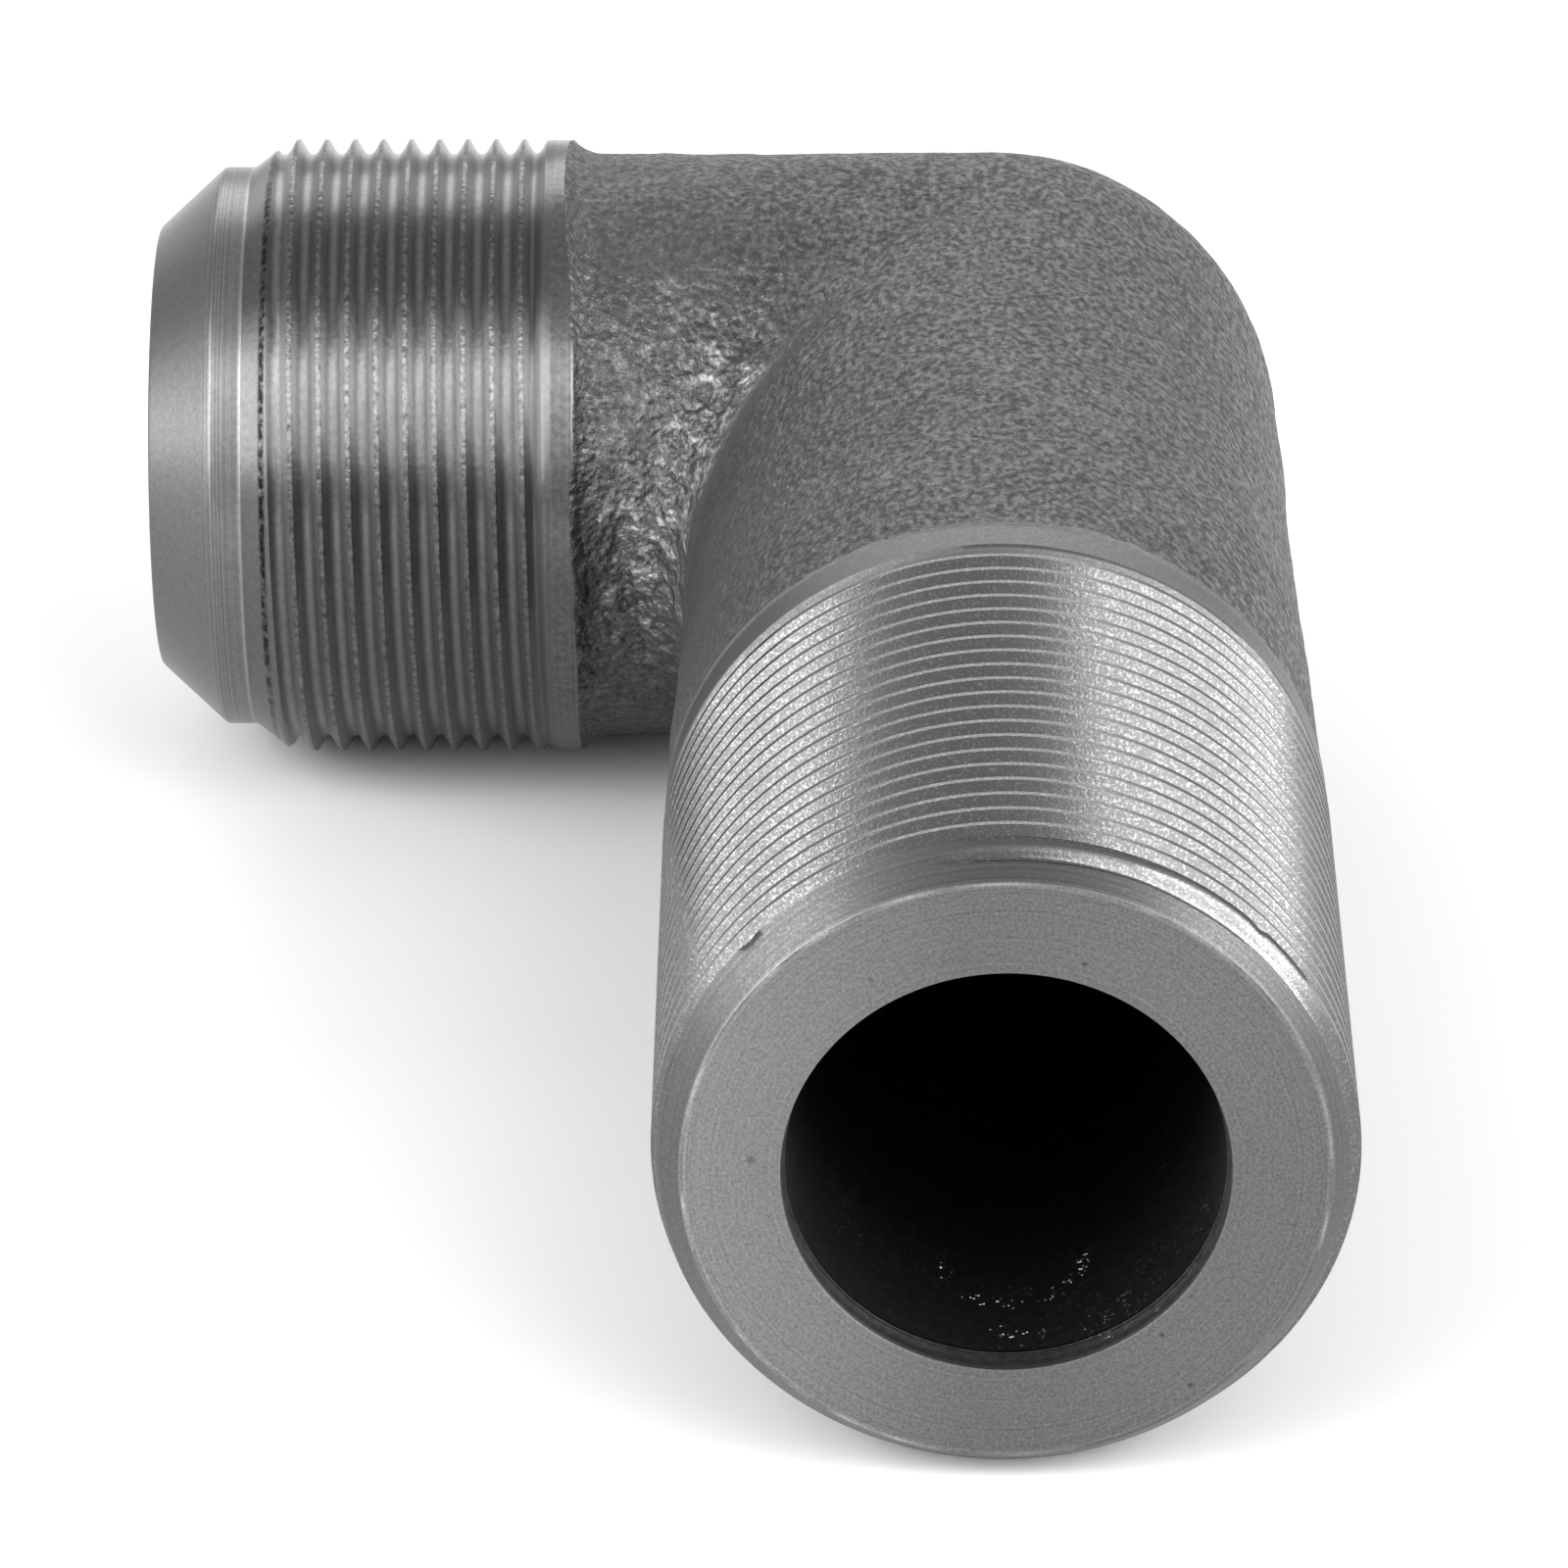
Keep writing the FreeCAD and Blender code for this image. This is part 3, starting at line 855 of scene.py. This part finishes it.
def blasted_thread(finish):
    """The long thread, finely speckled, with turning rings on its chamfer.

    fine is 1 on the blasted thread and falls on the collar and the chamfer, which are duller.
    The crests are painted darker, as painted shade along the thread's lines.
    """
    s = Shader("blasted_thread", 0.2)
    along = s.along("long")
    grain = s.noise(0.27 * MM, 2.0)
    specks = s.noise(0.2 * MM, 1.0, offset=(3, 3, 3))
    flank = s.ramp(s.mark("groove"), 0.0, 0.05)
    rings = s.rings(along, 0.25 * MM)
    past_start = s.ramp(along, LONG_CHAMFER_START, LONG_CHAMFER_START + 0.1 * MM)
    chamfer = s.math("MULTIPLY", s.mark("uncut"), past_start)
    thread = s.ramp(along, LONG_THREAD_START + 0.4 * MM, LONG_THREAD_START + 1.4 * MM)
    ring_contrast = s.math("MULTIPLY", chamfer, 0.9)
    ringed = s.math("MULTIPLY_ADD", s.math("SUBTRACT", rings, 0.5), ring_contrast, 1.0)
    fine = s.math("MULTIPLY", thread, s.math("MULTIPLY_ADD", chamfer, -0.8, 1.0))
    contrast = s.math("MULTIPLY_ADD", fine, 0.5, 0.25)
    speckled = s.math("MULTIPLY_ADD", s.ramp(specks, 0.5, 0.7), contrast, 0.86)
    # Painted shade: the crests are painted down to 0.65 times darker on the thread.
    crest = s.ramp(flank, 0, 1, s.math("MULTIPLY_ADD", thread, -0.35, 1.0), 1.0)
    s.set("Base Color", s.tone(
        finish.turned, speckled, ringed, crest, s.ramp(chamfer, 0, 1, 1.0, 0.78),
        s.ramp(thread, 0, 1, 0.88, 1.0)))
    s.set("Roughness", s.math("MULTIPLY_ADD", fine, -0.22, s.ramp(specks, 0.35, 0.65, 0.48, 0.39)))
    height = s.math("MULTIPLY", grain, s.math("MULTIPLY_ADD", flank, 0.8, 0.2))
    s.set("Normal", s.bump(height, 0.011 * MM))
    return s.material


def cut_thread(finish):
    """The short thread, smooth from the tool, with speckled crests and a ragged first ridge."""
    s = Shader("cut_thread", 0.4)
    s.turned("short", 1.0)
    along = s.along("short")
    groove = s.mark("groove")
    grain = s.math("SUBTRACT", s.noise(0.45 * MM, 2.0), 0.5)
    torn = s.noise(0.7 * MM, 2.0, offset=(4, 4, 4))
    crest = s.ramp(groove, 0.02, 0.2, 1.0, 0.0)
    flank = s.ramp(groove, 0.08, 0.3)
    root = s.ramp(groove, 0.72, 0.95)
    thread = s.ramp(along, SHORT_THREAD_START + 0.6 * MM, SHORT_THREAD_START + 1.2 * MM, 0.3, 1.0)
    worn = s.math("MULTIPLY", s.math("MULTIPLY_ADD", crest, 0.75, 0.25), grain)
    worn = s.math("MULTIPLY", worn, thread)
    ragged = s.math("SUBTRACT", 1.0, s.line(along, RAGGED_AT, 0.3 * MM, 0.0))
    darkening = s.math("SUBTRACT", s.ramp(torn, 0.45, 0.68, 0.12, 1.0), 1.0)
    burr = s.math("MULTIPLY_ADD", darkening, ragged, 1.0)
    # Painted highlight: the flanks are painted up to 1.18 times and the roots 1.5 times lighter
    # than the crests, as painted highlight lines.
    s.set("Base Color", s.tone(
        finish.turned, s.math("MULTIPLY_ADD", worn, 2.4, 1.0), s.ramp(flank, 0, 1, 1.1, 1.18),
        s.ramp(root, 0, 1, 1.0, 1.5), burr,
        # Painted shade: the lead-in is painted down to 0.62 times darker over its highlight.
        s.ramp(along, LEAD_IN_START + 0.6 * MM, LEAD_IN_START + 1.4 * MM, 1.0, 0.62)))
    height = s.math("MULTIPLY_ADD", s.math("MULTIPLY", ragged, torn), 1.5, worn)
    s.set("Normal", s.bump(height, 0.06 * MM))
    return s.material


def turned_cone(finish):
    """The nose's land and cone, with fine turning rings near the edge between them."""
    s = Shader("turned_cone", 0.36)
    s.turned("short", 0.55)
    along = s.along("short")
    rings = s.rings(along, 0.14 * MM)
    away = s.line(along, CONE_RINGS_AT, CONE_RINGS_REACH, 0.0)
    ringed = s.math("MULTIPLY", s.math("SUBTRACT", rings, 0.5), s.math("SUBTRACT", 1.0, away))
    grain = s.noise(0.4 * MM, 3.0)
    # Painted highlight: a line 1.5 times lighter is painted at the start of the land.
    s.set("Base Color", s.tone(
        finish.cone, s.math("MULTIPLY_ADD", ringed, 1.4, 1.0), s.ramp(grain, 0.3, 0.7, 0.88, 1.12),
        s.line(along, LAND_START + 0.14 * MM, 0.16 * MM, 1.5),
        s.ramp(along, CONE_START - 0.2 * MM, CONE_START + 0.2 * MM, 1.25, 1.0)))
    s.set("Normal", s.bump(ringed, 0.02 * MM, s.bump(grain, 0.01 * MM)))
    return s.material


def faced_steel(finish):
    """The flat end, dull with faint circular tool marks and a few dark pits.

    It is painted lighter towards -X, as painted light, and its rim is burnished in places
    and painted brighter there, as painted glints.
    """
    s = Shader("faced_steel", 0.45)
    s.turned("long", 0.5)
    radius = s.from_axis("long")
    grain = s.noise(0.22 * MM, 4.0)
    rings = s.math("SUBTRACT", s.rings(radius, 0.22 * MM), 0.5)
    marked = s.ramp(radius, *FACE_MARKS, 0.3, 0.8)
    pits = s.ramp(s.cells(3.2 * MM), 0.03, 0.08, 0.5, 1.0)
    # Painted highlight: the rim is burnished, and painted up to 2.4 times lighter in places as
    # painted glints.
    burnish_and_glint = s.ramp(s.noise(7 * MM, 2.0, offset=(6, 6, 6)), 0.46, 0.66, 1.0, 2.4)
    edge = s.line(radius, LONG_FACE_RADIUS - 0.12 * MM, 0.14 * MM, 0.0)
    edge = s.ramp(edge, 0, 1, burnish_and_glint, 1.0)
    # Painted light: the face is painted up to 1.5 times lighter towards its -X side.
    across = s.node("ShaderNodeSeparateXYZ", {0: s.position}).outputs[0]
    sheen = s.ramp(across, *(float(CROSSING[0]) + offset for offset in FACE_PAINTED_LIGHT), 1.5, 1.0)
    s.set("Base Color", s.tone(
        finish.face, s.ramp(grain, 0.3, 0.7, 0.72, 1.28),
        s.math("MULTIPLY_ADD", rings, marked, 1.0), pits, edge, sheen))
    s.set("Normal", s.bump(rings, 0.006 * MM, s.bump(grain, 0.02 * MM)))
    return s.material


def drilled_steel(finish):
    """The dark inside of the drillings, painted darker with depth as painted shade.

    A dark line is painted at the mouth's step and the mouth is painted lighter, as painted
    shade and light. The chips near the mouth are bright metal, painted brighter still as
    painted glints.
    """
    s = Shader("drilled_steel", 0.4)
    along = s.along("long")
    bore_end = LONG_LENGTH - MOUTH_DEPTH
    grain = s.noise(0.6 * MM, 3.0)
    chips = s.ramp(s.cells(0.4 * MM), 0.12, 0.3, 1.0, 0.0)
    gathered = s.ramp(s.noise(7 * MM, 1.0, offset=(2, 2, 2)), 0.48, 0.62, 0.0, 0.3)
    for centre, radius, width in CHIP_RINGS:
        offset = s.vector("SUBTRACT", s.position, list(CROSSING + np.array(centre)))
        flat = s.vector("MULTIPLY", offset, (1, 1, 0))
        reach = s.node("ShaderNodeVectorMath", {0: flat}, operation="LENGTH").outputs["Value"]
        ring = s.math("SUBTRACT", 1.0, s.line(reach, radius, width, 0.0))
        ring = s.math("MULTIPLY", ring, s.ramp(along, *CHIPS_GATHER, 0.1))
        gathered = s.math("MAXIMUM", gathered, ring)
    sparse = s.ramp(s.noise(1.1 * MM, 1.0, offset=(7, 7, 7)), 0.46, 0.56)
    # The chips are bright metal, and are painted up to 9 times lighter as painted glints.
    glinting_chips = s.math("MULTIPLY", s.math("MULTIPLY", chips, sparse), gathered)
    s.set("Base Color", s.tone(
        finish.bore, s.ramp(grain, 0.3, 0.7, 0.7, 1.3),
        # Painted shade: the bore is painted down to 0.4 times darker with depth.
        s.ramp(along, *BORE_PAINTED_SHADE, 0.4, 1.0),
        # Painted shade: a line down to 0.4 times darker is painted at the mouth's step.
        s.line(along, bore_end - 0.1 * MM, 0.3 * MM, 0.4),
        # Painted light: the mouth's wall is painted up to 2.3 times lighter than the bore.
        s.ramp(along, bore_end + 0.05 * MM, bore_end + 0.25 * MM, 1.0, 2.3),
        s.math("MULTIPLY_ADD", glinting_chips, 8.0, 1.0)))
    s.set("Normal", s.bump(s.math("MULTIPLY_ADD", glinting_chips, 4.0, grain), 0.04 * MM))
    return s.material


# The studio

# The camera's angles are in degrees, its sensor in millimetres. The crossing of the axes
# shows at CROSSING_PX in a square picture of PHOTO_SIDE_PX, and the focal length is in its pixels.
CAMERA_YAW = -0.54194
CAMERA_PITCH = 26.527
CAMERA_ROLL = -0.32433
CAMERA_FOCAL_PX = 9523.1
PHOTO_SIDE_PX = 1600
CROSSING_PX = (1004.8, 452.98)
CAMERA_DISTANCE = 733.3 * MM
SENSOR = 36.0

LIGHT_DISTANCE = 2.4
# Each softbox's name, its sides in azimuth and in elevation in degrees, and its radiance.
SOFTBOXES = (
    ("left_front_softbox", (-54, -28), (14, 57), 5.2),
    ("left_side_softbox", (-90, -52), (3, 46), 7.0),
    ("right_front_softbox", (18, 50), (14, 57), 4.6),
    ("right_side_softbox", (48, 90), (2, 46), 7.6),
    ("left_low_softbox", (-58, -40), (1, 15), 4.2),
    ("right_low_softbox", (38, 58), (1, 15), 4.2),
    ("back_softbox", (140, 220), (20, 47), 2.2),
)
HORIZON_GREY = 0.88
OVERHEAD_GREY = 0.76
FLOOR_HALF_SIDE = 4.0


def camera_axes():
    """The camera's right, up and forward directions, from its yaw, pitch and roll.

    Forward is (sin yaw cos pitch, cos yaw cos pitch, -sin pitch); the others roll about it.
    """
    yaw, pitch, roll = map(math.radians, (CAMERA_YAW, CAMERA_PITCH, CAMERA_ROLL))
    forward = Vector((math.sin(yaw) * math.cos(pitch), math.cos(yaw) * math.cos(pitch),
                      -math.sin(pitch)))
    level = Vector((math.cos(yaw), -math.sin(yaw), 0))
    upright = level.cross(forward)
    right = math.cos(roll) * level + math.sin(roll) * upright
    up = math.cos(roll) * upright - math.sin(roll) * level
    return right, up, forward


def add_camera():
    """Place the camera where the photograph was taken from.

    It stands back from the crossing by its distance times (right x / f + up y / f + forward),
    where x and y are the crossing's pixels right of and above the picture's middle.
    """
    right, up, forward = camera_axes()
    across = (CROSSING_PX[0] - PHOTO_SIDE_PX / 2) / CAMERA_FOCAL_PX
    above = (PHOTO_SIDE_PX / 2 - CROSSING_PX[1]) / CAMERA_FOCAL_PX
    offset = (right * across + up * above + forward) * CAMERA_DISTANCE
    data = bpy.data.cameras.new("camera")
    data.sensor_width = SENSOR
    data.lens = CAMERA_FOCAL_PX / PHOTO_SIDE_PX * SENSOR
    camera = bpy.data.objects.new("camera", data)
    turn = Matrix((right, up, -forward)).transposed()
    camera.matrix_world = Matrix.Translation(Vector(CROSSING) - offset) @ turn.to_4x4()
    bpy.context.collection.objects.link(camera)
    bpy.context.scene.camera = camera


def add_softbox(name, azimuths, elevations, radiance):
    """A rectangular area light that fills a window of directions as seen from the elbow.

    Azimuth 0 is in front, 90 on the right and 180 behind; the light's power is its radiance
    times pi times its area.
    """
    low, high = (math.radians(value) for value in azimuths)
    bottom, top = (math.radians(value) for value in elevations)
    a, e = (low + high) / 2, (bottom + top) / 2
    back = Vector((math.sin(a) * math.cos(e), -math.cos(a) * math.cos(e), math.sin(e)))
    data = bpy.data.lights.new(name, "AREA")
    data.shape = "RECTANGLE"
    data.size = 2 * LIGHT_DISTANCE * math.tan((high - low) / 2) * math.cos(e)
    data.size_y = 2 * LIGHT_DISTANCE * math.tan((top - bottom) / 2)
    data.energy = radiance * math.pi * data.size * data.size_y
    light = bpy.data.objects.new(name, data)
    light.location = Vector(CROSSING) + back * LIGHT_DISTANCE
    light.rotation_mode = "QUATERNION"
    light.rotation_quaternion = (-back).to_track_quat("-Z", "Y")
    bpy.context.collection.objects.link(light)


def add_surroundings(horizon, overhead):
    """A plain room: one grey at the horizon and below, fading to another overhead."""
    world = bpy.data.worlds.new("surroundings")
    world.use_nodes = True
    tree = world.node_tree
    direction = tree.nodes.new("ShaderNodeTexCoord")
    parts = tree.nodes.new("ShaderNodeSeparateXYZ")
    ramp = tree.nodes.new("ShaderNodeMapRange")
    ramp.inputs["From Min"].default_value = 0.1
    ramp.inputs["From Max"].default_value = 0.8
    ramp.inputs["To Min"].default_value = horizon
    ramp.inputs["To Max"].default_value = overhead
    tree.links.new(direction.outputs["Generated"], parts.inputs[0])
    tree.links.new(parts.outputs["Z"], ramp.inputs["Value"])
    tree.links.new(ramp.outputs[0], tree.nodes["Background"].inputs["Color"])
    bpy.context.scene.world = world


class ELBOW_OT_studio(bpy.types.Operator):
    """Build the floor, the lights, the surroundings and the camera"""

    bl_idname = "elbow.studio"
    bl_label = "Studio"

    def execute(self, context):
        finish = context.scene.elbow_finish
        side = FLOOR_HALF_SIDE
        mesh = bpy.data.meshes.new("floor")
        mesh.from_pydata([(-side, -side, 0), (side, -side, 0), (side, side, 0), (-side, side, 0)],
                         [], [(0, 1, 2, 3)])
        floor = bpy.data.objects.new("floor", mesh)
        context.collection.objects.link(floor)
        paper = bpy.data.materials.new("floor_paper")
        paper.use_nodes = True
        surface = paper.node_tree.nodes["Principled BSDF"]
        surface.inputs["Base Color"].default_value = finish.floor
        surface.inputs["Roughness"].default_value = 0.9
        mesh.materials.append(paper)

        add_surroundings(HORIZON_GREY, OVERHEAD_GREY)
        for softbox in SOFTBOXES:
            add_softbox(*softbox)
        add_camera()
        context.scene.view_settings.view_transform = "Standard"
        return {"FINISHED"}


class ELBOW_PT_panel(bpy.types.Panel):
    """Sidebar panel with the elbow's sizes, finishes and steps"""

    bl_idname = "ELBOW_PT_panel"
    bl_label = "Threaded Pipe Elbow"
    bl_space_type = "VIEW_3D"
    bl_region_type = "UI"
    bl_category = "Elbow"

    def draw(self, context):
        for group in (context.scene.elbow_sizes, context.scene.elbow_finish):
            box = self.layout.box()
            for name in group.__annotations__:
                box.prop(group, name)
        for step in STEPS:
            self.layout.operator(step.bl_idname)


STEPS = (ELBOW_OT_forged_body, ELBOW_OT_long_threaded_end, ELBOW_OT_nose_end, ELBOW_OT_studio)
CLASSES = (ElbowSizes, ElbowFinish, *STEPS, ELBOW_PT_panel)


def register():
    """Add the classes to Blender, and the sizes and finishes to the scene."""
    for cls in CLASSES:
        bpy.utils.register_class(cls)
    bpy.types.Scene.elbow_sizes = PointerProperty(type=ElbowSizes)
    bpy.types.Scene.elbow_finish = PointerProperty(type=ElbowFinish)


def unregister():
    """Take them away again."""
    del bpy.types.Scene.elbow_finish
    del bpy.types.Scene.elbow_sizes
    for cls in reversed(CLASSES):
        bpy.utils.unregister_class(cls)


def main():
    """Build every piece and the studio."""
    register()
    bpy.ops.elbow.forged_body()
    bpy.ops.elbow.long_threaded_end()
    bpy.ops.elbow.nose_end()
    bpy.ops.elbow.studio()


if __name__ == "__main__":
    main()
